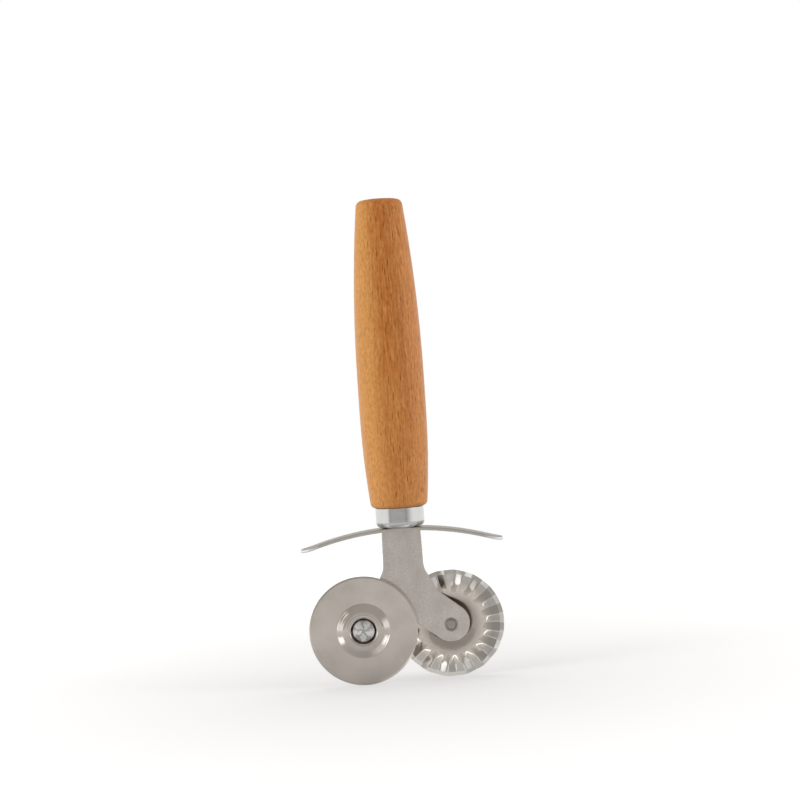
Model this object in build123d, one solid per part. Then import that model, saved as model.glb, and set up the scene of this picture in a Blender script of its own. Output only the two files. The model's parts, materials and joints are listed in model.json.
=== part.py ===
from build123d import *
import os
from math import acos, asin, cos, degrees, hypot, tau

# Double pastry wheel: a wooden handle with a smooth and a fluted cutting wheel.
# Sizes are millimetres. Z runs up along the handle and X across the two wheels.
# The smooth wheel lies in front of the plate, towards -Y, and touches Z = 0.

# Wheels
smooth_wheel_radius = 21.0
fluted_wheel_radius = 20.75
pivot_spacing = 34.0
wheel_sheet = 0.8
rim_land = 0.3
smooth_bevel_width = 0.7
fluted_bevel_width = 1.6

# Hub pressed into both wheels, measured to the middle of the sheet
hub_floor_radius = 4.7
hub_lip_radius = 5.45
hub_crown_radius = 7.7
hub_foot_radius = 10.3
hub_depth = 3.0
hub_crown_fall = 0.35
hub_bend = 0.7
crown_bend = 1.6
smooth_foot_bend = 1.2
fluted_foot_bend = 10.0
smooth_standoff = 0.9
fluted_standoff = 2.1

# Flutes of the fluted wheel
flute_count = 17
flute_turn = 2.6
flute_height = 0.8
flute_sharpness = 0.96
flute_start_radius = 13.8
flute_full_radius = 15.6
flute_rise_steps = 4
flute_points = 16

# Axle rivets
journal_radius = 2.5
journal_clearance = 0.08
axial_play = 0.15
rivet_head_radius = 4.15
rivet_head_height = 2.4
rivet_head_round = 0.35
rivet_shank_radius = 1.8
rivet_shank_clearance = 0.05
countersink_radius = 2.85
tail_face_radius = 1.85
tail_recess = 0.3
tail_shoulder_recess = 0.5

# Wheel plate and its tang
plate_thickness = 1.5
plate_edge_round = 0.2
neck_top_width = 15.0
neck_foot_width = 15.8
neck_height = 37.8
neck_foot_drop = 15.2
neck_bend = 8.0
shoulder_width = 25.4
shoulder_drop = 24.4
shoulder_bend = 6.0
lug_radius = 7.25
lug_rise = 0.65
crotch_rise = 3.8
crotch_bend = 4.0
tang_width = 8.0
tang_depth = 42.0
tang_point = 2.5
tang_clearance = 0.12

# Finger guard
guard_span = 78.4
guard_width = 12.0
guard_thickness = 1.2
guard_corner = 5.0
guard_radius = 114.0
guard_tip_length = 5.5
guard_tip_radius = 35.0
guard_edge_round = 0.3

# Ferrule
ferrule_radius = 9.4
ferrule_length = 7.82
ferrule_wall = 0.9
ferrule_floor = 1.0
ferrule_base_round = 2.2
ferrule_mouth_round = 0.3
seat_gap = 0.03

# Handle
handle_length = 119.0
handle_end_radius = 10.9
handle_belly_radius = 12.95
handle_belly_low = 38.0
handle_belly_high = 50.0
handle_butt_radius = 8.85
handle_butt_round = 2.2
handle_end_round = 2.0
tenon_clearance = 0.05
tenon_end_gap = 0.3
bore_end_gap = 1.0
bore_point_slope = 0.6

# Levels and sizes that follow from the values above
pivot_z = smooth_wheel_radius
neck_top_z = pivot_z + neck_height
guard_top_z = neck_top_z + guard_thickness
ferrule_z = guard_top_z + seat_gap
handle_z = ferrule_z + ferrule_length
journal_length = wheel_sheet + 2 * axial_play
hub_floor_level = axial_play + wheel_sheet / 2
shank_hole_radius = rivet_shank_radius + rivet_shank_clearance
countersink_depth = countersink_radius - shank_hole_radius
tang_slot = (tang_width + 2 * tang_clearance, plate_thickness + 2 * tang_clearance)
bore_radius = hypot(tang_width, plate_thickness) / 2 + tang_clearance
lug_centre = Vector(pivot_spacing / 2, pivot_z + lug_rise)
guard_centre_z = neck_top_z - guard_radius


def pivot_plane(side):
    """Pivot on the plate's face: left and in front for -1, right and behind for +1. Z points off the plate."""
    origin = (side * pivot_spacing / 2, side * plate_thickness / 2, pivot_z)
    return Plane(origin, x_dir=(1, 0, 0), z_dir=(0, side, 0))


def band(radius, low, high):
    """Half section of a cylinder from the axis out to a radius, between two heights."""
    return Pos(radius / 2, (low + high) / 2) * Rectangle(radius, high - low)


def outer_corner(section, end):
    """Outermost corner of a half section at its lower end (0) or its upper end (-1)."""
    return section.vertices().group_by(Axis.Y)[end].sort_by(Axis.X)[-1]


def turned(section):
    """Solid of a half section turned round the Z axis."""
    return revolve(Plane.XZ * section, Axis.Z)


def hub_line(disc_level, disc_radius, foot_bend):
    """Middle line of a wheel's sheet, from its bore over the raised hub out to a radius of the disc."""
    lip_level = hub_floor_level + hub_depth
    corners = [
        (journal_radius + journal_clearance, hub_floor_level),
        (hub_floor_radius, hub_floor_level),
        (hub_lip_radius, lip_level),
        (hub_crown_radius, lip_level - hub_crown_fall),
        (hub_foot_radius, disc_level),
        (disc_radius, disc_level),
    ]
    return FilletPolyline(*corners, radius=[hub_bend, hub_bend, crown_bend, foot_bend])


def smooth_wheel():
    """Flat cutting disc with the raised hub and a rim bevelled from both faces."""
    level = hub_floor_level + smooth_standoff
    bevel_start = smooth_wheel_radius - smooth_bevel_width
    sheet = trace(hub_line(level, bevel_start, smooth_foot_bend), wheel_sheet)
    rim = Polygon(
        (bevel_start, level - wheel_sheet / 2),
        (smooth_wheel_radius, level - rim_land / 2),
        (smooth_wheel_radius, level + rim_land / 2),
        (bevel_start, level + wheel_sheet / 2),
        align=None,
    )
    return pivot_plane(-1) * turned(sheet + rim)


def zigzag(phase):
    """Wave between +1 and -1 with nearly flat flanks and rounded turns."""
    return asin(flute_sharpness * cos(phase)) / asin(flute_sharpness)


def flute_edge(radius, height, level):
    """One pitch of the flutes' wave at a radius, from crest to crest."""
    pitch = 360 / flute_count
    if height == 0:
        return Pos(0, 0, level) * CenterArc((0, 0), radius, 0, pitch)
    points = []
    for step in range(flute_points + 1):
        rise = height * zigzag(tau * step / flute_points)
        points.append(Vector(radius, 0, level + rise).rotate(Axis.Z, pitch * step / flute_points))
    tangents = [Vector(0, 1, 0), Vector(0, 1, 0).rotate(Axis.Z, pitch)]
    return Spline(*points, tangents=tangents)


def ruled(edges):
    """Ruled faces from each edge of a list to the next."""
    return [Face.make_surface_from_curves(edge1=near, edge2=far) for near, far in zip(edges, edges[1:])]


def flute_ring(level):
    """Fluted part of the wheel: a waved sheet that grows out of the flat disc, bevelled at the rim."""
    low = level - wheel_sheet / 2
    high = level + wheel_sheet / 2
    bevel_start = fluted_wheel_radius - fluted_bevel_width
    rise = []
    for step in range(flute_rise_steps + 1):
        share = step / flute_rise_steps
        radius = flute_start_radius + share * (flute_full_radius - flute_start_radius)
        rise.append((radius, flute_height * share**2 * (3 - 2 * share)))
    upper = [flute_edge(radius, height, high) for radius, height in rise]
    upper.append(flute_edge(fluted_wheel_radius, flute_height, high))
    lower = [flute_edge(radius, height, low) for radius, height in rise]
    lower.append(flute_edge(bevel_start, flute_height, low))
    lower.append(flute_edge(fluted_wheel_radius, flute_height, high - rim_land))
    pitch_faces = ruled(upper) + ruled(lower) + ruled([lower[-1], upper[-1]]) + ruled([lower[0], upper[0]])
    faces = [turn * face for turn in PolarLocations(0, flute_count, flute_turn) for face in pitch_faces]
    return Solid(Shell(faces))


def fluted_wheel():
    """Pressed disc with the raised hub and the ring of flutes."""
    level = hub_floor_level + fluted_standoff
    hub = turned(trace(hub_line(level, flute_start_radius, fluted_foot_bend), wheel_sheet))
    return pivot_plane(1) * (hub + flute_ring(level))


def axle_rivet(side):
    """Rivet with a head outside the wheel, a journal in its bore and a tail peened into the plate."""
    head = band(rivet_head_radius, journal_length, journal_length + rivet_head_height)
    head = fillet(outer_corner(head, -1), rivet_head_round)
    journal = band(journal_radius, 0, journal_length)
    far_face = -plate_thickness
    shoulder = far_face + tail_shoulder_recess
    flare = countersink_radius - tail_shoulder_recess - rivet_shank_clearance
    tail = Polygon(
        (0, far_face + tail_recess),
        (tail_face_radius, far_face + tail_recess),
        (flare, shoulder),
        (rivet_shank_radius, shoulder + flare - rivet_shank_radius),
        (rivet_shank_radius, 0),
        (0, 0),
        align=None,
    )
    return pivot_plane(side) * turned(head + journal + tail)


def rivet_hole(side):
    """Hole for a rivet's shank, countersunk on the face away from its wheel."""
    hole = band(shank_hole_radius, -plate_thickness, 0)
    sink = Polygon(
        (0, -plate_thickness),
        (countersink_radius, -plate_thickness),
        (shank_hole_radius, countersink_depth - plate_thickness),
        (0, countersink_depth - plate_thickness),
        align=None,
    )
    return pivot_plane(side) * turned(hole + sink)


def touch_point(point, turn):
    """Point where a straight edge from a point touches the right lug, to the right (-1) or left (+1) of its middle."""
    back = Vector(point) - lug_centre
    swing = degrees(acos(lug_radius / back.length))
    return lug_centre + back.normalized().rotate(Axis.Z, turn * swing) * lug_radius


def plate_half():
    """Right half of the plate's outline: neck, shoulder, leg and lug."""
    neck_top = (neck_top_width / 2, neck_top_z)
    neck_foot = (neck_foot_width / 2, neck_top_z - neck_foot_drop)
    shoulder = (shoulder_width / 2, neck_top_z - shoulder_drop)
    crotch = (0, pivot_z + crotch_rise)
    upper = touch_point(shoulder, -1)
    lower = touch_point(crotch, 1)
    far_point = lug_centre + Vector(lug_radius, 0).rotate(Axis.Z, -45)
    edge = FilletPolyline((0, neck_top_z), neck_top, neck_foot, shoulder, upper, radius=[0, neck_bend, shoulder_bend])
    rim = ThreePointArc(upper, far_point, lower)
    return make_face(edge + rim + Polyline(lower, crotch, (0, neck_top_z)))


def wheel_plate():
    """Stamped plate with the two pivot lugs and, in one piece with it, the tang for the handle."""
    half = plate_half()
    outline = half + mirror(half, Plane.YZ)
    outline = fillet(outline.vertices().sort_by_distance((0, pivot_z + crotch_rise))[0], crotch_bend)
    outline &= Pos(0, guard_centre_z) * Circle(guard_radius - seat_gap)
    tang_top = handle_z + tang_depth
    tang = Pos(0, (neck_top_z - plate_thickness + tang_top) / 2) * Rectangle(tang_width, tang_top - neck_top_z + plate_thickness)
    tang = chamfer(tang.vertices().group_by(Axis.Y)[-1], tang_point)
    plate = extrude(Plane.XZ * (outline + tang), plate_thickness / 2, both=True)
    rims = plate.edges().group_by(Axis.Y)
    plate = fillet(rims[0] + rims[-1], plate_edge_round)
    return plate - rivet_hole(-1) - rivet_hole(1)


def tang_passage(low, high):
    """Slot that lets the tang through between two heights."""
    return Pos(0, 0, (low + high) / 2) * Box(*tang_slot, high - low)


def finger_guard():
    """Arched strip with turned-out tips, rounded in plan, clamped between the plate's neck and the ferrule."""
    middle_radius = guard_radius + guard_thickness / 2
    arch_angle = degrees(asin((guard_span / 2 - guard_tip_length) / middle_radius))
    arch = JernArc((0, guard_centre_z + middle_radius), (1, 0), middle_radius, -arch_angle)
    tip = JernArc(arch @ 1, arch % 1, guard_tip_radius, degrees(2 * guard_tip_length / guard_tip_radius))
    half = trace(arch + tip, guard_thickness)
    strip = extrude(Plane.XZ * (half + mirror(half, Plane.YZ)), guard_width / 2, both=True)
    plan = Pos(0, 0, neck_top_z) * extrude(RectangleRounded(guard_span, guard_width, guard_corner), guard_span, both=True)
    blank = strip & plan
    rims = blank.edges().filter_by(Axis.Z, reverse=True).filter_by(Axis.Y, reverse=True)
    return fillet(rims, guard_edge_round) - tang_passage(neck_top_z - guard_thickness, ferrule_z)


def ferrule():
    """Drawn cup over the handle's tenon, rounded at its base and slotted for the tang."""
    outer = band(ferrule_radius, 0, ferrule_length)
    outer = fillet(outer_corner(outer, 0), ferrule_base_round)
    outer = fillet(outer_corner(outer, -1), ferrule_mouth_round)
    inner = band(ferrule_radius - ferrule_wall, ferrule_floor, ferrule_length)
    inner = fillet(outer_corner(inner, 0), ferrule_base_round - ferrule_wall)
    cup = Pos(0, 0, ferrule_z) * turned(outer - inner)
    return cup - tang_passage(ferrule_z, ferrule_z + ferrule_floor)


def handle():
    """Turned wooden grip with a belly, a tenon for the ferrule and a drilled hole for the tang."""
    lower = TangentArc((handle_belly_radius, handle_belly_low), (handle_end_radius, 0), tangent=(0, -1))
    belly = Line((handle_belly_radius, handle_belly_low), (handle_belly_radius, handle_belly_high))
    upper = TangentArc((handle_belly_radius, handle_belly_high), (handle_butt_radius, handle_length), tangent=(0, 1))
    ends = Polyline((handle_butt_radius, handle_length), (0, handle_length), (0, 0), (handle_end_radius, 0))
    grip = make_face(lower + belly + upper + ends)
    grip = fillet(outer_corner(grip, -1), handle_butt_round)
    grip = fillet(outer_corner(grip, 0), handle_end_round)
    tenon_radius = ferrule_radius - ferrule_wall - tenon_clearance
    tenon_low = ferrule_floor + tenon_end_gap - ferrule_length
    tenon = band(tenon_radius, tenon_low, 0)
    tenon = chamfer(outer_corner(tenon, 0), ferrule_base_round - ferrule_wall)
    bore_high = tang_depth + bore_end_gap
    bore_tip = bore_high + bore_radius * bore_point_slope
    bore = band(bore_radius, tenon_low, bore_high)
    bore += Polygon((0, bore_high), (bore_radius, bore_high), (0, bore_tip), align=None)
    return Pos(0, 0, handle_z) * turned(grip + tenon - bore)


pieces = {
    "handle": handle(),
    "ferrule": ferrule(),
    "finger_guard": finger_guard(),
    "wheel_plate": wheel_plate(),
    "smooth_wheel": smooth_wheel(),
    "smooth_wheel_rivet": axle_rivet(-1),
    "fluted_wheel": fluted_wheel(),
    "fluted_wheel_rivet": axle_rivet(1),
}

os.makedirs("parts", exist_ok=True)
for name, piece in pieces.items():
    export_step(piece, f"parts/{name}.step")
    print(name, round(piece.volume, 1), "mm3")
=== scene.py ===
# %% [markdown]
# # A double pastry wheel
# This lesson dresses a small kitchen tool that was drawn in CAD: a turned beech handle, an aluminium
# ferrule, an arched steel finger guard and a steel plate that carries a smooth and a fluted cutting
# wheel. The CAD model is loaded as a fixed frame, so every piece is already in its place. What is left
# to do is what Blender is good at: the light, the camera and the finish of every surface.

# %% Load the frame
import json
import math

import bmesh
import bpy
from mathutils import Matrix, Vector


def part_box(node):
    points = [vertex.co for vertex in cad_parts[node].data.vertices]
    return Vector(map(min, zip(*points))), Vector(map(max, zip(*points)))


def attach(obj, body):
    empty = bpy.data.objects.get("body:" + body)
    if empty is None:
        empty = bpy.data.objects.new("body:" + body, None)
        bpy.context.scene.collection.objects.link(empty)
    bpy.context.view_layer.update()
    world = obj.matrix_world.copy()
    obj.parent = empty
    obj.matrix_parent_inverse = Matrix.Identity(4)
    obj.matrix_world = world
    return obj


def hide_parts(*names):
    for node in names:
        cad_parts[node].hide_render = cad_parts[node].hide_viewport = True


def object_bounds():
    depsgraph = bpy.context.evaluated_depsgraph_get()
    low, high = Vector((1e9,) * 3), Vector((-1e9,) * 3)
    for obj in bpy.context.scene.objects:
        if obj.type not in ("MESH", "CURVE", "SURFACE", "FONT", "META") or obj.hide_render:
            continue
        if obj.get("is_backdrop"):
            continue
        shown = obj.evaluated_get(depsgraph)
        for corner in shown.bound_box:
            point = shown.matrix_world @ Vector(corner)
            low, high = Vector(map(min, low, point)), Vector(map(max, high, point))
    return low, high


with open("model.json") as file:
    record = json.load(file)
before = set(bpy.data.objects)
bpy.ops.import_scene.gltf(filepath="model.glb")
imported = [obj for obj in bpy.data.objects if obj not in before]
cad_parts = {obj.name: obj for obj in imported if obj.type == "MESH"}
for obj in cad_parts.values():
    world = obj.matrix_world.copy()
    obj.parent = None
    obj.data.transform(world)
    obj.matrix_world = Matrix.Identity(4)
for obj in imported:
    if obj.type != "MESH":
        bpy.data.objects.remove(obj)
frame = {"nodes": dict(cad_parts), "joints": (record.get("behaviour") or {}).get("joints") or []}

cad_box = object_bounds()
nodes = frame["nodes"]
pivots = {joint["child"]: Vector(joint["pos_m"]) for joint in frame["joints"]}
print("CAD nodes:", ", ".join(sorted(nodes)))
print("CAD box:", [[round(value * 1000, 1) for value in corner] for corner in cad_box], "mm")

# %% [markdown]
# ## The camera
# The tool is seen from the front, level with the lower third of its handle, and it leans a little to
# the left in the picture. A product photographer would take a longish lens from a bit more than half a
# metre. The tool could be tilted to get the lean, but its frame is fixed, so the camera is turned about
# its own line of sight instead.

# %% Place the camera
MM = 0.001
CAMERA_PLACE = Vector((3.07, -650, 109.05)) * MM
CAMERA_LEAN = math.radians(3.9)

camera = bpy.data.objects.new("product_camera", bpy.data.cameras.new("product_lens"))
camera.location = CAMERA_PLACE
camera.rotation_euler = (math.radians(90), CAMERA_LEAN, 0)
camera.data.sensor_width = 36
camera.data.lens = 75.4
camera.data.clip_start = 10 * MM
scene = bpy.context.scene
scene.collection.objects.link(camera)
scene.camera = camera
scene.view_settings.view_transform = "Standard"
print("camera at", [round(value / MM, 1) for value in camera.location], "mm")

# %% [markdown]
# ## Colour and nodes
# Colours are noted as sRGB hex values, as a paint program shows them. Shaders work in linear light, so
# one function converts them. Another small function adds a shader node, sets it up and links its
# inputs, which keeps the recipes for the finishes short enough to read. Inputs are called by name, or
# by number where names repeat: a Mix node for colours has its share at 0, its two colours at 6 and 7
# and the mixed colour at output 2.

# %% Helpers for colours and nodes
def colour(hex_value):
    """Linear RGBA of an sRGB hex colour."""
    parts = [int(hex_value[start:start + 2], 16) / 255 for start in (1, 3, 5)]
    linear = [part / 12.92 if part <= 0.04045 else ((part + 0.055) / 1.055) ** 2.4 for part in parts]
    return (*linear, 1.0)


def add(tree, kind, inputs=None, **settings):
    """A new node of a tree, with its settings and with inputs that are values or sockets to link."""
    node = tree.nodes.new("ShaderNode" + kind)
    for name, value in settings.items():
        setattr(node, name, value)
    for name, value in (inputs or {}).items():
        if isinstance(value, bpy.types.NodeSocket):
            tree.links.new(value, node.inputs[name])
        else:
            node.inputs[name].default_value = value
    return node


print("beech brown in linear light:", [round(value, 3) for value in colour("#C3844D")])

# %% [markdown]
# ## The studio
# Metal has no look of its own: it shows what stands around it. Small polished tools are photographed
# between two low white walls and in front of a white backdrop, while the room stays grey where the
# camera stands and darker above. Bright planes could stand round the tool, but they would get in the
# way of other views. The world gives the same by the direction of each ray.

# %% White walls, white backdrop and a grey room
world = bpy.data.worlds.new("studio_walls")
scene.world = world
world.use_nodes = True
tree = world.node_tree
tree.nodes.clear()
direction = add(tree, "TexCoord").outputs["Generated"]
axes = add(tree, "SeparateXYZ", {0: direction}).outputs
shares = {}
for name, axis, start, end in (
    ("low", "Z", 0.42, 0.10),
    ("left", "X", -0.74, -0.93),
    ("right", "X", 0.54, 0.95),
    ("behind", "Y", 0.0, 0.35),
    ("under_top", "Z", 0.70, 0.52),
    ("over_floor", "Z", -0.04, 0.02),
):
    limits = {"Value": axes[axis], "From Min": start, "From Max": end}
    shares[name] = add(tree, "MapRange", limits, interpolation_type="SMOOTHSTEP").outputs[0]
sides = add(tree, "Math", {0: shares["left"], 1: shares["right"]}, operation="MAXIMUM").outputs[0]
walls = add(tree, "Math", {0: sides, 1: shares["behind"]}, operation="MAXIMUM").outputs[0]
white_share = add(tree, "Math", {0: walls, 1: shares["low"]}, operation="MULTIPLY").outputs[0]
print("shares of the world by direction:", ", ".join(shares))

# %% [markdown]
# Bearings round the tool place what is narrower. A bearing is 0 straight behind the tool and grows to
# the right. Two soft dark bands, as from the edges of the walls, give a round metal part the shading
# that shows its roundness. A tall bright strip on the left wall gives the flutes their white glints.

# %% Dark bands and a bright strip
ray_bearing = add(tree, "Math", {0: axes["X"], 1: axes["Y"]}, operation="ARCTAN2").outputs[0]
bands = {}
for name, bearing, inner, outer in (
    ("left_dark", -132, 2, 8),
    ("right_dark", 151, 2, 8),
    ("left_strip", -126, 5, 9),
):
    away = add(tree, "Math", {0: ray_bearing, 1: math.radians(bearing)}, operation="SUBTRACT").outputs[0]
    away = add(tree, "Math", {0: away}, operation="ABSOLUTE").outputs[0]
    limits = {"Value": away, "From Min": math.radians(outer), "From Max": math.radians(inner)}
    bands[name] = add(tree, "MapRange", limits, interpolation_type="SMOOTHSTEP").outputs[0]
tall_strip = bands["left_strip"]
for share in (shares["under_top"], shares["over_floor"]):
    tall_strip = add(tree, "Math", {0: tall_strip, 1: share}, operation="MULTIPLY").outputs[0]

dark = add(tree, "Math", {0: bands["left_dark"], 1: bands["right_dark"]}, operation="ADD").outputs[0]
ahead = add(tree, "Mix", {
    0: dark, 6: colour("#B6B4B1"), 7: colour("#A09E9B"),
}, data_type="RGBA").outputs[2]
grey = add(tree, "Mix", {0: shares["low"], 6: colour("#A6A4A1"), 7: ahead}, data_type="RGBA").outputs[2]
studio = add(tree, "Mix", {0: white_share, 6: grey, 7: colour("#FFFFFF")}, data_type="RGBA").outputs[2]
print("bands and strip by bearing:", ", ".join(bands))

# %% [markdown]
# The strip counts in mirrors alone. The eye itself, and anything seen through glass, meets plain white
# on every side, so that the background stays white when the camera walks round the tool.

# %% White for the eye
STRIP_GAIN = 1.6

rays = add(tree, "LightPath").outputs
glints = add(tree, "Math", {0: tall_strip, 1: rays["Is Glossy Ray"]}, operation="MULTIPLY").outputs[0]
level = add(tree, "MapRange", {"Value": rays["Is Glossy Ray"], "To Min": 0.9, "To Max": 1.0}).outputs[0]
strength = add(tree, "Math", {0: glints, 1: STRIP_GAIN, 2: level}, operation="MULTIPLY_ADD").outputs[0]
room = add(tree, "Background", {"Color": studio, "Strength": strength})
white = add(tree, "Background", {"Color": (1, 1, 1, 1), "Strength": 1.0})
eye = add(tree, "Math", {
    0: rays["Is Camera Ray"], 1: rays["Is Transmission Ray"],
}, operation="MAXIMUM").outputs[0]
mix = add(tree, "MixShader", {0: eye, 1: room.outputs[0], 2: white.outputs[0]})
add(tree, "OutputWorld", {"Surface": mix.outputs[0]})
print("world nodes:", len(tree.nodes))

# %% [markdown]
# ## The floor
# The tool stands on a round sheet of white paper, which is only there for its shadow and its
# reflections. One operator makes it: a filled circle.

# %% Lay the floor
FLOOR_RADIUS = 0.55


def mesh_object(name, shape):
    """Object at the origin that holds a finished bmesh."""
    mesh = bpy.data.meshes.new(name)
    shape.to_mesh(mesh)
    shape.free()
    made = bpy.data.objects.new(name, mesh)
    scene.collection.objects.link(made)
    return made


shape = bmesh.new()
bmesh.ops.create_circle(shape, cap_ends=True, segments=128, radius=FLOOR_RADIUS)
floor = mesh_object("floor", shape)
floor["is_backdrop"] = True
print("floor radius:", FLOOR_RADIUS, "m")

# %% [markdown]
# The paper takes the light like any matt paper. For the eye and for glass a glow is added, more of it
# towards the edge, so the sheet fades into the white backdrop while the soft shadow under the wheels
# stays. In mirrors the glow is weak, and there is none of it just in front of the smooth wheel: a
# painted shadow of the wheel that only mirrors show, so that steel shows the paper as a calm grey. Three
# small bright reflectors count in mirrors alone, as a photographer would lay them beside a shiny tool:
# one lightens the lower flutes, and two give the hub of the smooth wheel a glint on either side.

# %% Paper: its glow, seen directly and in mirrors
paper = bpy.data.materials.new("matt_white_paper")
paper.use_nodes = True
tree = paper.node_tree
tree.nodes.clear()
spot = add(tree, "TexCoord").outputs["Object"]
from_middle = add(tree, "VectorMath", {0: spot}, operation="LENGTH").outputs["Value"]
glow_level = add(tree, "MapRange", {
    "Value": from_middle, "From Min": 0.05, "From Max": 0.45, "To Min": 0.38, "To Max": 0.80,
}).outputs[0]

# Just in front of the smooth wheel the mirrored glow drops away: a painted shadow of the wheel.
shade_place = Vector((-26, -34, 0)) * MM
from_shade = add(tree, "VectorMath", {0: spot, 1: shade_place}, operation="DISTANCE").outputs["Value"]
mirror_share = add(tree, "MapRange", {
    "Value": from_shade, "From Min": 20 * MM, "From Max": 70 * MM, "To Max": 0.2,
}).outputs[0]
print("paper is darkest in mirrors at", [round(value / MM) for value in shade_place], "mm")

# %% Paper: reflectors
# Each row is a place in mm, a lean in degrees, half a length and half a width in mm, and a strength.
for place, lean, half_length, half_width, gain in (
    ((8, -5), 0, 22, 22, 0.8),
    ((-68, -18.5), 19, 24, 6, 3.4),
    ((23, -17.5), -21, 25, 4, 3.8),
):
    reflector_place = add(tree, "Mapping", {
        "Vector": spot, "Location": Vector((*place, 0)) * MM, "Rotation": (0, 0, math.radians(lean)),
        "Scale": (half_length * MM, half_width * MM, 1),
    }, vector_type="TEXTURE").outputs[0]
    from_reflector = add(tree, "VectorMath", {0: reflector_place}, operation="LENGTH").outputs["Value"]
    limits = {"Value": from_reflector, "From Min": 1.0, "From Max": 0.6, "To Max": gain}
    reflector = add(tree, "MapRange", limits).outputs[0]
    mirror_share = add(tree, "Math", {0: mirror_share, 1: reflector}, operation="MAXIMUM").outputs[0]
    print("reflector at", place, "mm")

# %% Paper: matt sheet and glow together
rays = add(tree, "LightPath").outputs
eye = add(tree, "Math", {
    0: rays["Is Camera Ray"], 1: rays["Is Transmission Ray"],
}, operation="MAXIMUM").outputs[0]
mirrored = add(tree, "Math", {0: rays["Is Glossy Ray"], 1: mirror_share}, operation="MULTIPLY").outputs[0]
seen = add(tree, "Math", {0: eye, 1: mirrored}, operation="MAXIMUM").outputs[0]
power = add(tree, "Math", {0: glow_level, 1: seen}, operation="MULTIPLY").outputs[0]
matt = add(tree, "BsdfDiffuse", {"Color": colour("#D2D2D2")})
glow = add(tree, "Emission", {"Color": (1, 1, 1, 1), "Strength": power})
lit = add(tree, "AddShader", {0: matt.outputs[0], 1: glow.outputs[0]})
add(tree, "OutputMaterial", {"Surface": lit.outputs[0]})
floor.data.materials.append(paper)
print("paper nodes:", len(tree.nodes))

# %% [markdown]
# ## The lamps
# Two soft boxes stand left and right of the tool and a third hangs above it. The left one is the key: it
# makes the left flank of the handle lighter than the right one, and the sheen painted into the wood adds
# to that. Large lamps give soft shadows. They are hidden from mirrors, as if they stood behind the white
# walls, so that metal shows calm white planes and not the glare of a lamp.

# %% Hang the soft boxes
LAMP_TARGET = Vector((0, 0, 90)) * MM


def soft_box(name, place, width, height, watts):
    """Rectangular area lamp that points at the middle of the tool."""
    lamp = bpy.data.lights.new(name, "AREA")
    lamp.shape = "RECTANGLE"
    lamp.size = width
    lamp.size_y = height
    lamp.energy = watts
    box = bpy.data.objects.new(name, lamp)
    box.location = place
    aim = LAMP_TARGET - Vector(place)
    box.rotation_euler = aim.to_track_quat("-Z", "Y").to_euler()
    box.visible_glossy = False
    scene.collection.objects.link(box)


soft_box("left_soft_box", (-0.78, -0.34, 0.20), 0.4, 0.4, 4.2)
soft_box("right_soft_box", (0.82, -0.24, 0.20), 0.4, 0.4, 3.2)
soft_box("top_soft_box", (0.0, 0.15, 1.0), 0.7, 0.6, 2.6)
print("lamps:", [lamp.name for lamp in bpy.data.lights])

# %% [markdown]
# ## Finishes
# Each finish starts from the real material and how its surface was made. A finish is a Principled
# shader with patterns on its colour, roughness and bump. All patterns read Object coordinates, which
# here are simply metres in the tool's own frame, so their sizes can be given in millimetres. Pictures of
# wood and steel would be another way, but patterns need no files, show no seams and run through a piece
# as its grain does.

# %% Helpers for the finishes
WAVE_PERIOD = 0.314      # metres from ring to ring of a wave pattern whose scale is 1


def finish(name, values):
    """New material with these values on its shader; gives the material, its tree and the shader."""
    material = bpy.data.materials.new(name)
    material.use_nodes = True
    tree = material.node_tree
    shader = tree.nodes["Principled BSDF"]
    for socket, value in values.items():
        shader.inputs[socket].default_value = value
    return material, tree, shader


def connect(tree, shader, patterns):
    """Patterns are linked to the shader's sockets of these names."""
    for socket, pattern in patterns.items():
        tree.links.new(pattern, shader.inputs[socket])


def per_mm(*sizes):
    """Scale of a pattern whose features have these sizes in millimetres along X, Y and Z."""
    return tuple(1 / (size * MM) for size in sizes)


def wear(node_name, material):
    """A CAD node gets a finish in all its material slots."""
    for slot in nodes[node_name].material_slots:
        slot.material = material
    print(node_name, "wears", material.name)


print("scale of a pattern of 2 mm:", per_mm(2))

# %% [markdown]
# ## Varnished beech
# The handle is turned from beech and varnished. Beech is an even, warm brown wood. Its growth rings show
# as soft, broad bands along the grain, its fibres as fine streaks, and its rays as a fine speckle. Open
# pores leave short dark dashes, a few millimetres long and thinner than a pencil line. All these
# patterns are stretched along Z, because the grain runs along the handle. Fibres, speckle and dashes are
# drawn 0.5 to 0.7 mm wide, coarser than real ones, so that they show. Both flanks get a painted sheen of
# paler colour, as the side lamps would light them, most of all the left one, where the painted sheen is
# more yellow too, and the wood grows a little lighter towards the ferrule.

# %% Beech: rings, streaks and speckle
RING_WIDTH = 2.4 * MM

beech, tree, shader = finish("varnished_beech", {
    "Specular IOR Level": 0.15, "Coat Weight": 0.5, "Coat Roughness": 0.45, "Coat IOR": 1.38,
})
spot = add(tree, "TexCoord").outputs["Object"]

# The pith lies outside the blank, so the rings cross the handle as gentle arcs.
ring_place = add(tree, "Mapping", {
    "Vector": spot, "Location": (26 * MM, -34 * MM, 0), "Rotation": (0.012, -0.016, 0),
    "Scale": (1, 1, 0.12),
}).outputs[0]
rings = add(tree, "TexWave", {
    "Vector": ring_place, "Scale": WAVE_PERIOD / RING_WIDTH, "Distortion": 2.2, "Detail": 2.0,
    "Detail Scale": 0.6,
}, wave_type="RINGS", rings_direction="Z", wave_profile="SAW").outputs["Fac"]

grain = {}
for name, sizes in (
    ("broad", (7, 7, 70)),
    ("fibres", (0.7, 0.7, 10)),
    ("lines", (0.6, 0.6, 9)),
    ("speckle", (0.5, 0.5, 1.7)),
):
    place = add(tree, "Mapping", {"Vector": spot, "Scale": per_mm(*sizes)}).outputs[0]
    noise = {"Vector": place, "Scale": 1.0, "Detail": 3.0, "Roughness": 0.6}
    grain[name] = add(tree, "TexNoise", noise).outputs["Fac"]
print("beech patterns:", ", ".join(grain))
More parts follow.
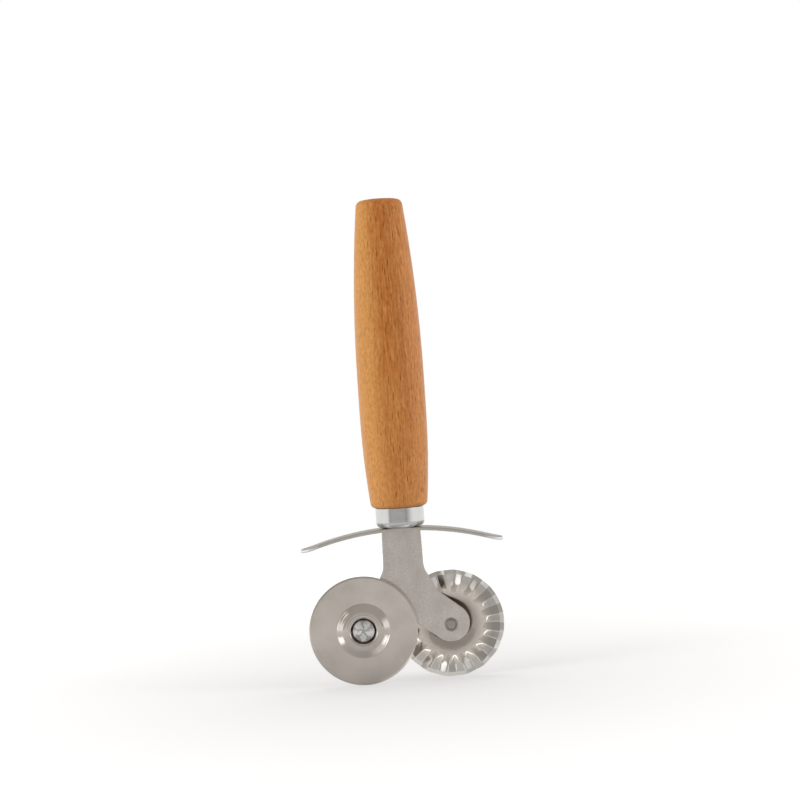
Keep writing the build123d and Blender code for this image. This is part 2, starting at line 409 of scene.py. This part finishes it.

# %% Beech: dark dashes
# Each cell of a Voronoi pattern has room for one dash, its colour picks how dark the dash is, and on the
# left flank, under the painted sheen, the dashes are faint, as a highlight would wash them out.
spans = add(tree, "SeparateXYZ", {0: spot}).outputs
dash_place = add(tree, "Mapping", {"Vector": spot, "Scale": per_mm(0.65, 0.65, 5.5)}).outputs[0]
dashes = add(tree, "TexVoronoi", {"Vector": dash_place, "Scale": 1.0, "Randomness": 1.0}).outputs
dash_core = add(tree, "MapRange", {
    "Value": dashes["Distance"], "From Min": 0.10, "From Max": 0.42, "To Min": 1.0, "To Max": 0.0,
}).outputs[0]
dash_pick = add(tree, "SeparateColor", {0: dashes["Color"]}).outputs[0]
dash_depth = add(tree, "MapRange", {"Value": dash_pick, "From Min": 0.52, "From Max": 0.84}).outputs[0]
dash_fade_under_sheen = add(tree, "MapRange", {
    "Value": spans["X"], "From Min": -8 * MM, "From Max": -2 * MM, "To Min": 0.15, "To Max": 1.0,
}).outputs[0]
dash = add(tree, "Math", {0: dash_core, 1: dash_depth}, operation="MULTIPLY").outputs[0]
dash_share = add(tree, "Math", {0: dash, 1: dash_fade_under_sheen}, operation="MULTIPLY").outputs[0]
print("dash nodes:", [node.name for node in tree.nodes if node.name.startswith(("Voronoi", "Separate"))])

# %% Beech: one long pore
# One pore near the butt is much longer than the rest, about 6 mm, and lies a little across the grain.
PORE_PLACE = Vector((6.9, -8.0, 173.3)) * MM
PORE_HALF_SIZE = Vector((0.42, 1.6, 3.6)) * MM

pore_place = add(tree, "Mapping", {
    "Vector": spot, "Location": PORE_PLACE, "Rotation": (0, math.radians(-11), 0),
    "Scale": PORE_HALF_SIZE,
}, vector_type="TEXTURE").outputs[0]
from_pore = add(tree, "VectorMath", {0: pore_place}, operation="LENGTH").outputs["Value"]
pore = add(tree, "MapRange", {
    "Value": from_pore, "From Min": 0.4, "From Max": 1.0, "To Min": 0.8, "To Max": 0.0,
}).outputs[0]
dash_share = add(tree, "Math", {0: dash_share, 1: pore}, operation="MAXIMUM").outputs[0]
print("long pore at", [round(value / MM, 1) for value in PORE_PLACE], "mm")

# %% Beech: colour
broad_share = add(tree, "MapRange", {
    "Value": grain["broad"], "From Min": 0.36, "From Max": 0.64,
}).outputs[0]
tone = add(tree, "Mix", {
    0: broad_share, 6: colour("#BE6E2D"), 7: colour("#CE7F3B"),
}, data_type="RGBA").outputs[2]
ring_share = add(tree, "Math", {0: rings, 1: 0.22}, operation="MULTIPLY").outputs[0]
tone = add(tree, "Mix", {0: ring_share, 6: tone, 7: colour("#A65C22")}, data_type="RGBA").outputs[2]

# The broad noise makes the borders of the painted flank sheens waver by a few millimetres. Each row below
# lays one colour over the wood: dark lines, painted sheen of the left flank, painted sheen of the right
# flank, lower end, pale fibres, dark speckle.
painted_light_across = add(tree, "Math", {
    0: grain["broad"], 1: 4 * MM, 2: spans["X"],
}, operation="MULTIPLY_ADD").outputs[0]
for pattern, start, end, share, hue in (
    (grain["lines"], 0.47, 0.70, 0.42, "#A25A20"),
    (painted_light_across, 0.5 * MM, -4.8 * MM, 0.92, "#D2964F"),
    (painted_light_across, 2.5 * MM, 11 * MM, 0.55, "#D08C52"),
    (spans["Z"], 120 * MM, 74 * MM, 0.34, "#DD9C5C"),
    (grain["fibres"], 0.42, 0.70, 0.62, "#E3A560"),
    (grain["speckle"], 0.44, 0.66, 0.56, "#A66027"),
):
    limits = {"Value": pattern, "From Min": start, "From Max": end, "To Max": share}
    mark_share = add(tree, "MapRange", limits).outputs[0]
    tone = add(tree, "Mix", {0: mark_share, 6: tone, 7: colour(hue)}, data_type="RGBA").outputs[2]
tone = add(tree, "Mix", {0: dash_share, 6: tone, 7: colour("#82430F")}, data_type="RGBA").outputs[2]
print("beech nodes:", len(tree.nodes))

# %% Beech: shine and relief
rough = add(tree, "MapRange", {
    "Value": grain["fibres"], "From Min": 0.3, "From Max": 0.7, "To Min": 0.42, "To Max": 0.54,
}).outputs[0]
relief = add(tree, "Math", {0: grain["fibres"], 1: dash}, operation="SUBTRACT").outputs[0]
bump = add(tree, "Bump", {"Height": relief, "Strength": 0.25, "Distance": 0.05 * MM}).outputs[0]
connect(tree, shader, {"Base Color": tone, "Roughness": rough, "Normal": bump})
wear("handle", beech)

# %% [markdown]
# ## Drawn and polished aluminium
# The ferrule is a small cup drawn from aluminium sheet and polished on the spindle. Polishing leaves
# fine lines round the cup, and pressing it over the wood leaves a few flat dents near its mouth. The
# lines are noise that is much finer along Z than across it. They are drawn 0.3 mm apart, coarser than
# real ones, so that they show.

# %% Aluminium
aluminium, tree, shader = finish("polished_drawn_aluminium", {
    "Base Color": colour("#D8D8D7"), "Metallic": 1.0,
})
spot = add(tree, "TexCoord").outputs["Object"]
line_place = add(tree, "Mapping", {"Vector": spot, "Scale": per_mm(14, 14, 0.3)}).outputs[0]
lines = add(tree, "TexNoise", {"Vector": line_place, "Scale": 1.0, "Detail": 2.0}).outputs["Fac"]
rough = add(tree, "MapRange", {
    "Value": lines, "From Min": 0.3, "From Max": 0.7, "To Min": 0.11, "To Max": 0.19,
}).outputs[0]

dent_place = add(tree, "Mapping", {"Vector": spot, "Scale": per_mm(3.2, 3.2, 2.6)}).outputs[0]
dents = add(tree, "TexNoise", {"Vector": dent_place, "Scale": 1.0, "Detail": 1.0}).outputs["Fac"]
height = add(tree, "SeparateXYZ", {0: spot}).outputs["Z"]
mouth_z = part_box("ferrule")[1].z
mouth = add(tree, "MapRange", {
    "Value": height, "From Min": mouth_z - 3.5 * MM, "From Max": mouth_z,
}).outputs[0]
mouth_dents = add(tree, "Math", {0: dents, 1: mouth}, operation="MULTIPLY").outputs[0]
dented = add(tree, "Bump", {"Height": mouth_dents, "Strength": 0.5, "Distance": 0.08 * MM}).outputs[0]
bump = add(tree, "Bump", {
    "Height": lines, "Strength": 0.25, "Distance": 0.012 * MM, "Normal": dented,
}).outputs[0]
connect(tree, shader, {"Roughness": rough, "Normal": bump})
wear("ferrule", aluminium)

# %% [markdown]
# ## Satin stainless steel
# Guard, plate and smooth wheel are stainless sheet. Rolled stainless is never quite even: its shine is
# cloudy, and tumbling after stamping leaves a fine grain and a few stray scratches. The guard was
# brushed along its length before it was bent, and near its ends its cut edge gets a painted highlight,
# white, as a rounded corner would mirror the white walls. Brush lines, grain and scratches are drawn
# 0.25 to 0.9 mm wide, coarser than real ones, so that they show. The colour is a slightly warm grey, and
# most of the look is in the roughness.

# %% Steel of the guard: brushing
guard_steel, tree, shader = finish("brushed_stainless_strip", {"Metallic": 1.0})
coordinates = add(tree, "TexCoord").outputs
spot = coordinates["Object"]
brush_place = add(tree, "Mapping", {"Vector": spot, "Scale": per_mm(18, 0.35, 0.35)}).outputs[0]
brush = add(tree, "TexNoise", {"Vector": brush_place, "Scale": 1.0, "Detail": 3.0}).outputs["Fac"]
rough = add(tree, "MapRange", {
    "Value": brush, "From Min": 0.3, "From Max": 0.7, "To Min": 0.34, "To Max": 0.48,
}).outputs[0]
bump = add(tree, "Bump", {"Height": brush, "Strength": 0.3, "Distance": 0.02 * MM}).outputs[0]
print("guard nodes so far:", len(tree.nodes))

# %% Steel of the guard: painted highlight on the edge near the ends
# The painted highlight lies near the ends, far from X = 0, where the surface faces neither up nor down.
along = add(tree, "SeparateXYZ", {0: spot}).outputs["X"]
off_middle = add(tree, "Math", {0: along}, operation="ABSOLUTE").outputs[0]
near_end = add(tree, "MapRange", {
    "Value": off_middle, "From Min": 31.5 * MM, "From Max": 34.5 * MM,
}).outputs[0]
facing = add(tree, "SeparateXYZ", {0: coordinates["Normal"]}).outputs["Z"]
up_or_down = add(tree, "Math", {0: facing}, operation="ABSOLUTE").outputs[0]
on_edge = add(tree, "MapRange", {"Value": up_or_down, "From Min": 0.6, "From Max": 0.3}).outputs[0]
painted_end_highlight = add(tree, "Math", {0: near_end, 1: on_edge}, operation="MULTIPLY").outputs[0]
# There the steel's grey is painted towards white: a painted highlight.
tone = add(tree, "Mix", {
    0: painted_end_highlight, 6: colour("#D6D0C8"), 7: colour("#FFFFFF"),
}, data_type="RGBA").outputs[2]
connect(tree, shader, {"Base Color": tone, "Roughness": rough, "Normal": bump})
wear("finger_guard", guard_steel)

# %% Steel of the plate: clouds and grain
plate_steel, tree, shader = finish("tumbled_stainless_sheet", {"Metallic": 1.0})
spot = add(tree, "TexCoord").outputs["Object"]
cloud_place = add(tree, "Mapping", {"Vector": spot, "Scale": per_mm(7, 7, 9)}).outputs[0]
clouds = add(tree, "TexNoise", {
    "Vector": cloud_place, "Scale": 1.0, "Detail": 4.0, "Roughness": 0.6,
}).outputs["Fac"]
cloud_share = add(tree, "MapRange", {"Value": clouds, "From Min": 0.36, "From Max": 0.64}).outputs[0]
tone = add(tree, "Mix", {
    0: cloud_share, 6: colour("#DAD3CD"), 7: colour("#EDE6E0"),
}, data_type="RGBA").outputs[2]
fine_place = add(tree, "Mapping", {"Vector": spot, "Scale": per_mm(0.7, 0.7, 0.9)}).outputs[0]
fine_grain = add(tree, "TexNoise", {"Vector": fine_place, "Scale": 1.0, "Detail": 2.0}).outputs["Fac"]
fine_share = add(tree, "MapRange", {
    "Value": fine_grain, "From Min": 0.40, "From Max": 0.70, "To Max": 0.5,
}).outputs[0]
tone = add(tree, "Mix", {0: fine_share, 6: tone, 7: colour("#CBC3BC")}, data_type="RGBA").outputs[2]
rough = add(tree, "MapRange", {
    "Value": clouds, "From Min": 0.3, "From Max": 0.7, "To Min": 0.30, "To Max": 0.42,
}).outputs[0]
print("plate nodes so far:", len(tree.nodes))

# %% Steel of the plate: scratches and relief
scratch_place = add(tree, "Mapping", {
    "Vector": spot, "Rotation": (0, math.radians(32), 0), "Scale": per_mm(0.25, 0.25, 9),
}).outputs[0]
scratches = add(tree, "TexNoise", {"Vector": scratch_place, "Scale": 1.0, "Detail": 1.0}).outputs["Fac"]
scratch = add(tree, "MapRange", {"Value": scratches, "From Min": 0.68, "From Max": 0.76}).outputs[0]
relief = add(tree, "Math", {0: fine_grain, 1: scratch}, operation="SUBTRACT").outputs[0]
bump = add(tree, "Bump", {"Height": relief, "Strength": 0.25, "Distance": 0.02 * MM}).outputs[0]
connect(tree, shader, {"Base Color": tone, "Roughness": rough, "Normal": bump})
wear("wheel_plate", plate_steel)

# %% [markdown]
# ## The smooth wheel
# A cutting disc is polished while it spins, which leaves faint rings about its axle. A wave pattern
# makes rings about the Y axis once a Mapping node has moved the pivot to the origin. They are drawn
# 0.6 mm apart, coarser than real ones. The pressed hub, out to 10 mm, is smoother than the disc, because
# the die has burnished it. Only shallow ripples, a good millimetre wide, are left there.

# %% Steel of the smooth wheel: colour and shine
HUB_EDGE = 10 * MM

smooth_steel, tree, shader = finish("spun_satin_stainless", {"Metallic": 1.0})
spot = add(tree, "TexCoord").outputs["Object"]
cloud_place = add(tree, "Mapping", {"Vector": spot, "Scale": per_mm(9, 9, 9)}).outputs[0]
clouds = add(tree, "TexNoise", {"Vector": cloud_place, "Scale": 1.0, "Detail": 4.0}).outputs["Fac"]
cloud_share = add(tree, "MapRange", {"Value": clouds, "From Min": 0.36, "From Max": 0.64}).outputs[0]
tone = add(tree, "Mix", {
    0: cloud_share, 6: colour("#D8D0C7"), 7: colour("#E5DDD5"),
}, data_type="RGBA").outputs[2]

ring_place = add(tree, "Mapping", {"Vector": spot, "Location": -pivots["smooth_wheel"]}).outputs[0]
rings = add(tree, "TexWave", {
    "Vector": ring_place, "Scale": WAVE_PERIOD / (0.6 * MM), "Distortion": 0.8, "Detail": 3.0,
    "Detail Scale": 1.0,
}, wave_type="RINGS", rings_direction="Y").outputs["Fac"]
disc_rough = add(tree, "MapRange", {"Value": rings, "To Min": 0.22, "To Max": 0.26}).outputs[0]
from_pivot = add(tree, "VectorMath", {0: ring_place}, operation="LENGTH").outputs["Value"]
rough_share = add(tree, "MapRange", {
    "Value": from_pivot, "From Min": HUB_EDGE, "From Max": HUB_EDGE + 1 * MM, "To Min": 0.5,
}).outputs[0]
rough = add(tree, "Math", {0: disc_rough, 1: rough_share}, operation="MULTIPLY").outputs[0]
print("smooth wheel nodes so far:", len(tree.nodes))

# %% Steel of the smooth wheel: rings and ripples
ripples = add(tree, "TexWave", {
    "Vector": ring_place, "Scale": WAVE_PERIOD / (1.1 * MM), "Distortion": 0.5, "Detail": 1.0,
}, wave_type="RINGS", rings_direction="Y").outputs["Fac"]
on_hub = add(tree, "MapRange", {
    "Value": from_pivot, "From Min": HUB_EDGE + 1 * MM, "From Max": HUB_EDGE - 1 * MM,
}).outputs[0]
ripple_height = add(tree, "Math", {0: ripples, 1: on_hub}, operation="MULTIPLY").outputs[0]
rippled = add(tree, "Bump", {
    "Height": ripple_height, "Strength": 1.0, "Distance": 0.025 * MM,
}).outputs[0]
bump = add(tree, "Bump", {
    "Height": rings, "Strength": 0.1, "Distance": 0.003 * MM, "Normal": rippled,
}).outputs[0]
connect(tree, shader, {"Base Color": tone, "Roughness": rough, "Normal": bump})
wear("smooth_wheel", smooth_steel)

# %% [markdown]
# ## The fluted wheel
# The second wheel is a pressed disc: a raised hub in the middle, and a ring of flutes that starts
# between hub and rim and cuts the wavy edge. In Blender it is made the way a press would do it. The
# section of the plain disc is a chain of a few vertices, its corners are rounded with a vertex bevel,
# and a spin turns it into a disc. The sheet gets its thickness while it is still flat, then the rim is
# ground to a bevel, and last the flutes are pressed in by moving the vertices along the axle. A fine,
# even mesh like this carries clean reflections.

# %% Section of the plain disc
SHEET = 0.8 * MM
DISC_LEVEL = 2.1 * MM
BORE = 2.58 * MM
DISH_EDGE = 10.3 * MM
FLUTE_START = 12.0 * MM
FLUTE_FULL = 16.6 * MM
BEVEL_START = 19.15 * MM
RIM = 20.75 * MM

hub = pivots["fluted_wheel"]
section = [(BORE, 0), (4.7 * MM, 0), (5.45 * MM, 3.0 * MM), (7.7 * MM, 2.65 * MM)]
section += [(radius, DISC_LEVEL) for radius in (DISH_EDGE, FLUTE_START, FLUTE_FULL, BEVEL_START, RIM)]
shape = bmesh.new()
chain = [shape.verts.new(hub + Vector((radius, level, 0))) for radius, level in section]
runs = [shape.edges.new(pair) for pair in zip(chain, chain[1:])]

# Each corner has its bend radius, and its bevel starts where an arc of that radius would leave the run.
# The outer runs are cut finely, because grinding and pressing will move their points.
for corner, bend in zip(chain[1:5], (0.7 * MM, 0.7 * MM, 1.6 * MM, 10.0 * MM)):
    arms = [run.other_vert(corner).co - corner.co for run in corner.link_edges]
    corner_turn = math.pi - arms[0].angle(arms[1])
    cut_back = bend * math.tan(corner_turn / 2)
    bmesh.ops.bevel(
        shape, geom=[corner], offset=cut_back, segments=8, profile=0.5, affect="VERTICES", material=-1,
    )
for run, cuts in zip(runs[5:], (17, 5, 3)):
    bmesh.ops.subdivide_edges(shape, edges=[run], cuts=cuts)
print("points in the section:", len(shape.verts))

# %% Spin it and give the sheet its thickness
FLUTES = 17
STEPS_A_FLUTE = 24
MERGE = 0.001 * MM

bmesh.ops.spin(
    shape, geom=shape.verts[:] + shape.edges[:], cent=hub, axis=(0, 1, 0), angle=math.tau,
    steps=FLUTES * STEPS_A_FLUTE, use_merge=True,
)
bmesh.ops.remove_doubles(shape, verts=shape.verts[:], dist=MERGE)
bmesh.ops.recalc_face_normals(shape, faces=shape.faces[:])
shape.normal_update()

# The section is the middle of the sheet, so the faces move out by half a thickness before they get it.
shifts = [(vert, vert.normal * vert.calc_shell_factor() * SHEET / 2) for vert in shape.verts]
for vert, shift in shifts:
    vert.co += shift
shape.normal_update()
bmesh.ops.solidify(shape, geom=shape.faces[:], thickness=SHEET)
levels = [vert.co.y - hub.y for vert in shape.verts]
print("levels of the flat sheet:", round(min(levels) / MM, 3), "to", round(max(levels) / MM, 3), "mm")

# %% Grind the bevel
BEVEL_DEPTH = 0.62 * MM


def from_axle(point):
    """Distance of a point from the axle of the fluted wheel."""
    return math.hypot(point.x - hub.x, point.z - hub.z)


for vert in shape.verts:
    past_start = from_axle(vert.co) - BEVEL_START
    if past_start > 0 and vert.co.y - hub.y < DISC_LEVEL:
        vert.co.y += BEVEL_DEPTH * past_start / (RIM - BEVEL_START)

shape.normal_update()
for face in shape.faces:
    face.smooth = True
    ground = from_axle(face.calc_center_median()) > BEVEL_START and face.normal.y < -0.5
    face.material_index = int(ground)

# Edges at the rim and the bore stay sharp, and all others are shaded smooth.
for edge in shape.edges:
    radii = [from_axle(vert.co) for vert in edge.verts]
    at_rim = min(radii) > BEVEL_START - 0.05 * MM
    at_bore = max(radii) < BORE + 0.12 * MM
    edge.smooth = not ((at_rim or at_bore) and edge.calc_face_angle(0) > math.radians(10))
print("ground faces:", sum(face.material_index for face in shape.faces))

# %% Press the flutes
FLUTE_HEIGHT = 0.8 * MM
FLUTE_TURN = math.radians(2.6)
FLUTE_SHARPNESS = 0.96


def zigzag(phase):
    """Wave between +1 and -1 with nearly flat flanks and rounded turns."""
    return math.asin(FLUTE_SHARPNESS * math.cos(phase)) / math.asin(FLUTE_SHARPNESS)


for vert in shape.verts:
    share = (from_axle(vert.co) - FLUTE_START) / (FLUTE_FULL - FLUTE_START)
    share = min(max(share, 0), 1)
    arm = vert.co - hub
    phase = FLUTES * (math.atan2(-arm.z, arm.x) - FLUTE_TURN)
    vert.co.y += FLUTE_HEIGHT * share**2 * (3 - 2 * share) * zigzag(phase)

fluted_wheel = mesh_object("fluted_wheel_sheet", shape)
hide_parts("fluted_wheel")
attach(fluted_wheel, "fluted_wheel")
print("fluted wheel:", len(fluted_wheel.data.polygons), "faces")

# %% [markdown]
# The fluted wheel is brighter than the smooth one: pressing stretches the sheet over the die, and a
# short polish leaves it nearly mirror bright, with a thin haze. Its look comes from the flutes, which
# show the white walls and the grey room by turns. The dish is painted darker near the hub, a painted
# shade where the plate's lug shades it, and grows lighter towards the ring where the flutes start.

# %% Steel of the fluted wheel
SHADE_FADE_START = 10.8 * MM
SHADE_FADE_END = 14.2 * MM
FLANK_START = 13.8 * MM

fluted_steel, tree, shader = finish("polished_pressed_stainless", {"Metallic": 1.0})
spot = add(tree, "TexCoord").outputs["Object"]
haze_place = add(tree, "Mapping", {"Vector": spot, "Scale": per_mm(2.5, 2.5, 2.5)}).outputs[0]
haze = add(tree, "TexNoise", {
    "Vector": haze_place, "Scale": 1.0, "Detail": 4.0, "Roughness": 0.6,
}).outputs["Fac"]
hub_place = add(tree, "Mapping", {"Vector": spot, "Location": -hub}).outputs[0]
from_hub = add(tree, "VectorMath", {0: hub_place}, operation="LENGTH").outputs["Value"]
uneven = add(tree, "Math", {0: haze, 1: 2.0 * MM, 2: from_hub}, operation="MULTIPLY_ADD").outputs[0]
painted_hub_shade_fade = add(tree, "MapRange", {"Value": uneven, "From Min": SHADE_FADE_START, "From Max": SHADE_FADE_END}).outputs[0]
# Near the hub the dish is painted darker, a painted shade under the plate's lug that fades outwards.
tone = add(tree, "Mix", {
    0: painted_hub_shade_fade, 6: colour("#C2BBB2"), 7: colour("#EFE7DD"),
}, data_type="RGBA").outputs[2]
fluted = add(tree, "MapRange", {
    "Value": from_hub, "From Min": FLANK_START, "From Max": FLUTE_FULL,
}).outputs[0]
tone = add(tree, "Mix", {0: fluted, 6: tone, 7: colour("#CDC9C4")}, data_type="RGBA").outputs[2]
rough = add(tree, "MapRange", {
    "Value": haze, "From Min": 0.3, "From Max": 0.7, "To Min": 0.11, "To Max": 0.19,
}).outputs[0]
bump = add(tree, "Bump", {"Height": haze, "Strength": 0.1, "Distance": 0.05 * MM}).outputs[0]
connect(tree, shader, {"Base Color": tone, "Roughness": rough, "Normal": bump})
fluted_wheel.data.materials.append(fluted_steel)
print(fluted_wheel.name, "wears", fluted_steel.name)

# %% [markdown]
# The bevel at the rim was ground last. Fresh grinding is the brightest steel on the wheel, with a soft
# shine and fine lines round the rim, drawn 0.4 mm apart so that they show.

# %% Steel of the ground bevel
bevel_steel, tree, shader = finish("ground_stainless_edge", {
    "Base Color": colour("#EDE9E4"), "Metallic": 1.0,
})
spot = add(tree, "TexCoord").outputs["Object"]
hub_place = add(tree, "Mapping", {"Vector": spot, "Location": -hub}).outputs[0]
lines = add(tree, "TexWave", {
    "Vector": hub_place, "Scale": WAVE_PERIOD / (0.4 * MM), "Distortion": 1.0, "Detail": 2.0,
}, wave_type="RINGS", rings_direction="Y").outputs["Fac"]
rough = add(tree, "MapRange", {"Value": lines, "To Min": 0.20, "To Max": 0.30}).outputs[0]
bump = add(tree, "Bump", {"Height": lines, "Strength": 0.1, "Distance": 0.01 * MM}).outputs[0]
connect(tree, shader, {"Roughness": rough, "Normal": bump})
fluted_wheel.data.materials.append(bevel_steel)
print("bevel of", fluted_wheel.name, "wears", bevel_steel.name)

# %% [markdown]
# ## The axle rivets
# Each rivet has a low crowned head that stands in the hub of its wheel, a journal for the wheel to turn
# on, and a tail that is peened into a countersink of the plate. Peening leaves a small flat with a
# groove round it. A rivet is turned from its half section, like the wheel: a chain of vertices from axis
# to axis, three vertex bevels and a spin. The section is given in millimetres, as radius and level.

# %% Section of a rivet
TAIL_CORNER = (1.5, -1.75)
HEAD_CORNER = (4.15, 2.25)
CROWN = (2.0, 2.95)

rivet_section = [
    (0, -1.75), TAIL_CORNER, (1.95, -1.30), (2.02, -1.27), (1.8, -1.05), (1.8, -0.55),
    (2.5, -0.55), (2.5, 0.55), (4.15, 0.55), HEAD_CORNER, CROWN, (0, 2.95),
]
print("points in the section of a rivet:", len(rivet_section))

# %% Turn the rivets
TAIL_TOP = -1.0 * MM

rivets = {}
for wheel, side in (("smooth_wheel", -1), ("fluted_wheel", 1)):
    axle = pivots[wheel]
    shape = bmesh.new()
    points = [Vector((radius, side * level, 0)) * MM for radius, level in rivet_section]
    chain = [shape.verts.new(axle + point) for point in points]
    for pair in zip(chain, chain[1:]):
        shape.edges.new(pair)
    for corner, bend in ((TAIL_CORNER, 0.15), (HEAD_CORNER, 0.3), (CROWN, 1.9)):
        vert = chain[rivet_section.index(corner)]
        bmesh.ops.bevel(
            shape, geom=[vert], offset=bend * MM, segments=5, profile=0.5, affect="VERTICES", material=-1,
        )
    bmesh.ops.spin(
        shape, geom=shape.verts[:] + shape.edges[:], cent=axle, axis=(0, 1, 0), angle=math.tau,
        steps=96, use_merge=True,
    )
    bmesh.ops.remove_doubles(shape, verts=shape.verts[:], dist=MERGE)
    bmesh.ops.recalc_face_normals(shape, faces=shape.faces[:])
    for face in shape.faces:
        face.smooth = True
        face.material_index = int(side * (face.calc_center_median().y - axle.y) < TAIL_TOP)
    for edge in shape.edges:
        edge.smooth = edge.calc_face_angle(0) < math.radians(25)
    rivets[wheel] = mesh_object(wheel + "_axle_rivet", shape)
    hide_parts(wheel + "_rivet")
    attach(rivets[wheel], "tool")
    print(rivets[wheel].name, "has", len(rivets[wheel].data.polygons), "faces")

# %% [markdown]
# The head keeps the fine rings of the lathe. Such a surface spreads a highlight across the rings, so
# that bright sectors stand on the head like a bow tie. Anisotropy with a tangent that runs round the
# axle, turned by a quarter, gives just that. The rings are drawn 0.5 mm apart, coarser than real ones.
# A star of five white sectors about a small duller centre is painted on the head as well, a painted
# highlight like the streaks that lamps draw on turned steel. Each rivet has its own copy of the
# finish, because rings and star are centred on its own axle.

# %% Steel of the turned heads: rings of the lathe
heads = {}
for wheel, rivet in rivets.items():
    turned_steel, tree, shader = finish("turned_rivet_steel_" + wheel, {
        "Metallic": 1.0, "Anisotropic": 1.0, "Anisotropic Rotation": 0.25,
    })
    spot = add(tree, "TexCoord").outputs["Object"]
    ring_place = add(tree, "Mapping", {"Vector": spot, "Location": -pivots[wheel]}).outputs[0]
    rings = add(tree, "TexWave", {
        "Vector": ring_place, "Scale": WAVE_PERIOD / (0.5 * MM), "Distortion": 0.6, "Detail": 2.0,
    }, wave_type="RINGS", rings_direction="Y").outputs["Fac"]
    rough = add(tree, "MapRange", {"Value": rings, "To Min": 0.26, "To Max": 0.34}).outputs[0]
    bump = add(tree, "Bump", {"Height": rings, "Strength": 0.2, "Distance": 0.01 * MM}).outputs[0]
    around = add(tree, "Tangent", direction_type="RADIAL", axis="Y").outputs[0]
    connect(tree, shader, {"Roughness": rough, "Normal": bump, "Tangent": around})
    rivet.data.materials.append(turned_steel)
    heads[rivet.name] = (tree, shader, ring_place)
    print("head of", rivet.name, "wears", turned_steel.name)

# %% Steel of the turned heads: painted star of highlights
STAR_SECTORS = 5
STAR_TURN = math.radians(80)
STAR_DRIFT = 1.5         # radians by which noise bends the sectors

for name, (tree, shader, ring_place) in heads.items():
    spans = add(tree, "SeparateXYZ", {0: ring_place}).outputs
    clock = add(tree, "Math", {0: spans["X"], 1: spans["Z"]}, operation="ARCTAN2").outputs[0]
    drift_place = add(tree, "Mapping", {"Vector": ring_place, "Scale": per_mm(1.7, 1.7, 1.7)}).outputs[0]
    drift = add(tree, "TexNoise", {"Vector": drift_place, "Scale": 1.0, "Detail": 2.0}).outputs["Fac"]
    bent = add(tree, "Math", {0: drift, 1: STAR_DRIFT, 2: clock}, operation="MULTIPLY_ADD").outputs[0]
    bent = add(tree, "Math", {0: bent, 1: STAR_TURN}, operation="SUBTRACT").outputs[0]
    bent = add(tree, "Math", {0: bent, 1: STAR_SECTORS}, operation="MULTIPLY").outputs[0]
    star = add(tree, "Math", {0: bent}, operation="COSINE").outputs[0]
    painted_star_highlight = add(tree, "MapRange", {"Value": star, "From Min": -1.0, "From Max": 0.3}).outputs[0]
    flat = add(tree, "VectorMath", {0: ring_place, 1: (1, 0, 1)}, operation="MULTIPLY").outputs[0]
    from_centre = add(tree, "VectorMath", {0: flat}, operation="LENGTH").outputs["Value"]
    off_centre = add(tree, "MapRange", {
        "Value": from_centre, "From Min": 0.3 * MM, "From Max": 1.1 * MM,
    }).outputs[0]
    painted_star_highlight = add(tree, "Math", {0: painted_star_highlight, 1: off_centre}, operation="MULTIPLY").outputs[0]
    # Within the sectors the steel is painted towards white: a painted highlight.
    tone = add(tree, "Mix", {
        0: painted_star_highlight, 6: colour("#C4C1BE"), 7: colour("#FFFFFF"),
    }, data_type="RGBA").outputs[2]
    connect(tree, shader, {"Base Color": tone})
    print("star on", name, "nodes:", len(tree.nodes))

# %% [markdown]
# Peening with a hammer leaves the tails dull, darker than the plate and a little uneven, with dents
# about a millimetre wide.

# %% Steel of the peened tails
peened_steel, tree, shader = finish("peened_rivet_steel", {"Metallic": 1.0})
spot = add(tree, "TexCoord").outputs["Object"]
blow_place = add(tree, "Mapping", {"Vector": spot, "Scale": per_mm(0.9, 0.9, 0.9)}).outputs[0]
blows = add(tree, "TexNoise", {"Vector": blow_place, "Scale": 1.0, "Detail": 2.0}).outputs["Fac"]
tone = add(tree, "Mix", {
    0: blows, 6: colour("#ABA59F"), 7: colour("#C4BFB8"),
}, data_type="RGBA").outputs[2]
rough = add(tree, "MapRange", {
    "Value": blows, "From Min": 0.3, "From Max": 0.7, "To Min": 0.34, "To Max": 0.48,
}).outputs[0]
bump = add(tree, "Bump", {"Height": blows, "Strength": 0.4, "Distance": 0.06 * MM}).outputs[0]
connect(tree, shader, {"Base Color": tone, "Roughness": rough, "Normal": bump})
for rivet in rivets.values():
    rivet.data.materials.append(peened_steel)
    print("tail of", rivet.name, "wears", peened_steel.name)

# %% [markdown]
# ## The size
# The finishes and the three new meshes must not change the size of the tool, so the box of what is seen
# is printed beside the box of the CAD model.

# %% Print the boxes
visual_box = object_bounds()
sizes = {"cad": [list(corner) for corner in cad_box], "visual": [list(corner) for corner in visual_box]}
print("sizes:", sizes)
